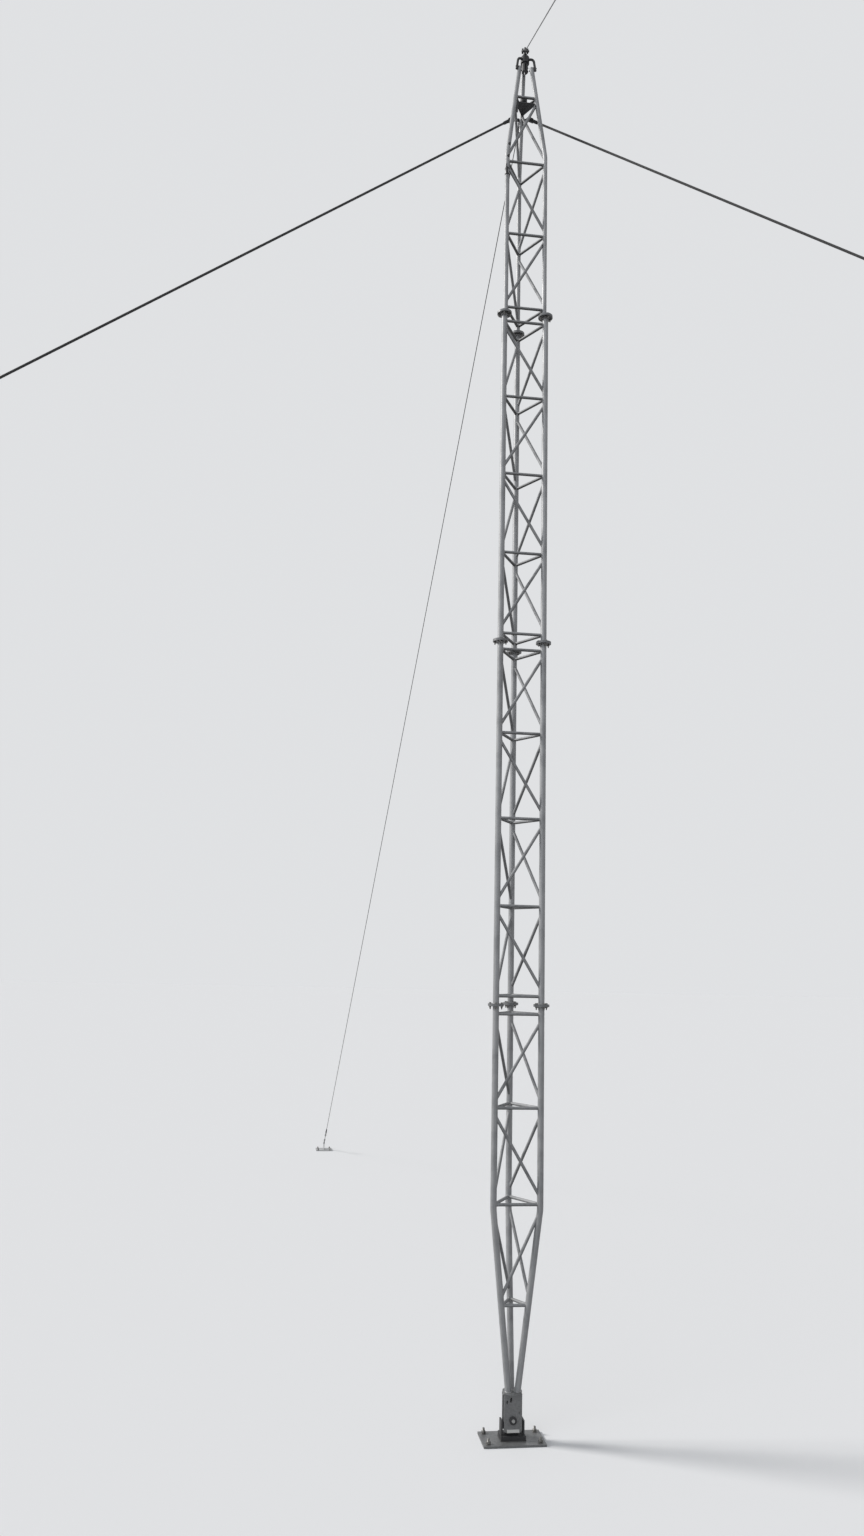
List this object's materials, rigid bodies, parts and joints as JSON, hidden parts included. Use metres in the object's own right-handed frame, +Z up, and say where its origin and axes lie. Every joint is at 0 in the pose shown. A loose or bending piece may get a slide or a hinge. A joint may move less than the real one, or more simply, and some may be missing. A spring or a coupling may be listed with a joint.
{
  "type": "stayed lattice radio mast",
  "caption": "Stayed lattice radio mast of welded aluminium tube in bolted sections, with a pinned foot on a base plate, a spindle head and taut stays to ground anchors.",
  "frame": {"origin": "centre of the base plate's underside, on the mast's axis at ground level", "axes": "+Z up the mast; -Y is the front, the side that the picture shows; +X to the right of it"},
  "size_m": [23.8969, 29.6379, 12.037],
  "materials": {
    "aluminium_tube": "dull mill finish",
    "galvanised_steel": "dull galvanised",
    "dark_steel": "dark satin",
    "black_rope": "matte braided sheath",
    "steel_wire": "dull"
  },
  "bodies": {
    "root": {"base_plate": "galvanised_steel", "base_socket": "dark_steel", "foot_pin": "dark_steel", "foot_fork": "galvanised_steel", "bottom_leg_left": "aluminium_tube", "bottom_leg_right": "aluminium_tube", "bottom_leg_back": "aluminium_tube", "bottom_bracing_front": "aluminium_tube", "bottom_bracing_right": "aluminium_tube", "bottom_bracing_left": "aluminium_tube", "lower_leg_left": "aluminium_tube", "lower_leg_right": "aluminium_tube", "lower_leg_back": "aluminium_tube", "lower_bracing_front": "aluminium_tube", "lower_bracing_right": "aluminium_tube", "lower_bracing_left": "aluminium_tube", "upper_leg_left": "aluminium_tube", "upper_leg_right": "aluminium_tube", "upper_leg_back": "aluminium_tube", "upper_bracing_front": "aluminium_tube", "upper_bracing_right": "aluminium_tube", "upper_bracing_left": "aluminium_tube", "top_leg_left": "aluminium_tube", "top_leg_right": "aluminium_tube", "top_leg_back": "aluminium_tube", "top_bracing_front": "aluminium_tube", "top_bracing_right": "aluminium_tube", "top_bracing_left": "aluminium_tube", "head_plate": "dark_steel", "head_arms": "dark_steel", "head_spindle": "dark_steel", "head_shackle": "dark_steel", "stay_bar": "dark_steel", "port_stay": "black_rope", "starboard_stay": "black_rope", "aft_stay": "steel_wire", "fore_stay": "steel_wire", "port_rigging_screw": "galvanised_steel", "starboard_rigging_screw": "galvanised_steel", "aft_rigging_screw": "galvanised_steel", "fore_rigging_screw": "galvanised_steel", "port_anchor": "galvanised_steel", "starboard_anchor": "galvanised_steel", "aft_anchor": "galvanised_steel", "fore_anchor": "galvanised_steel"}
  },
  "joints": []
}
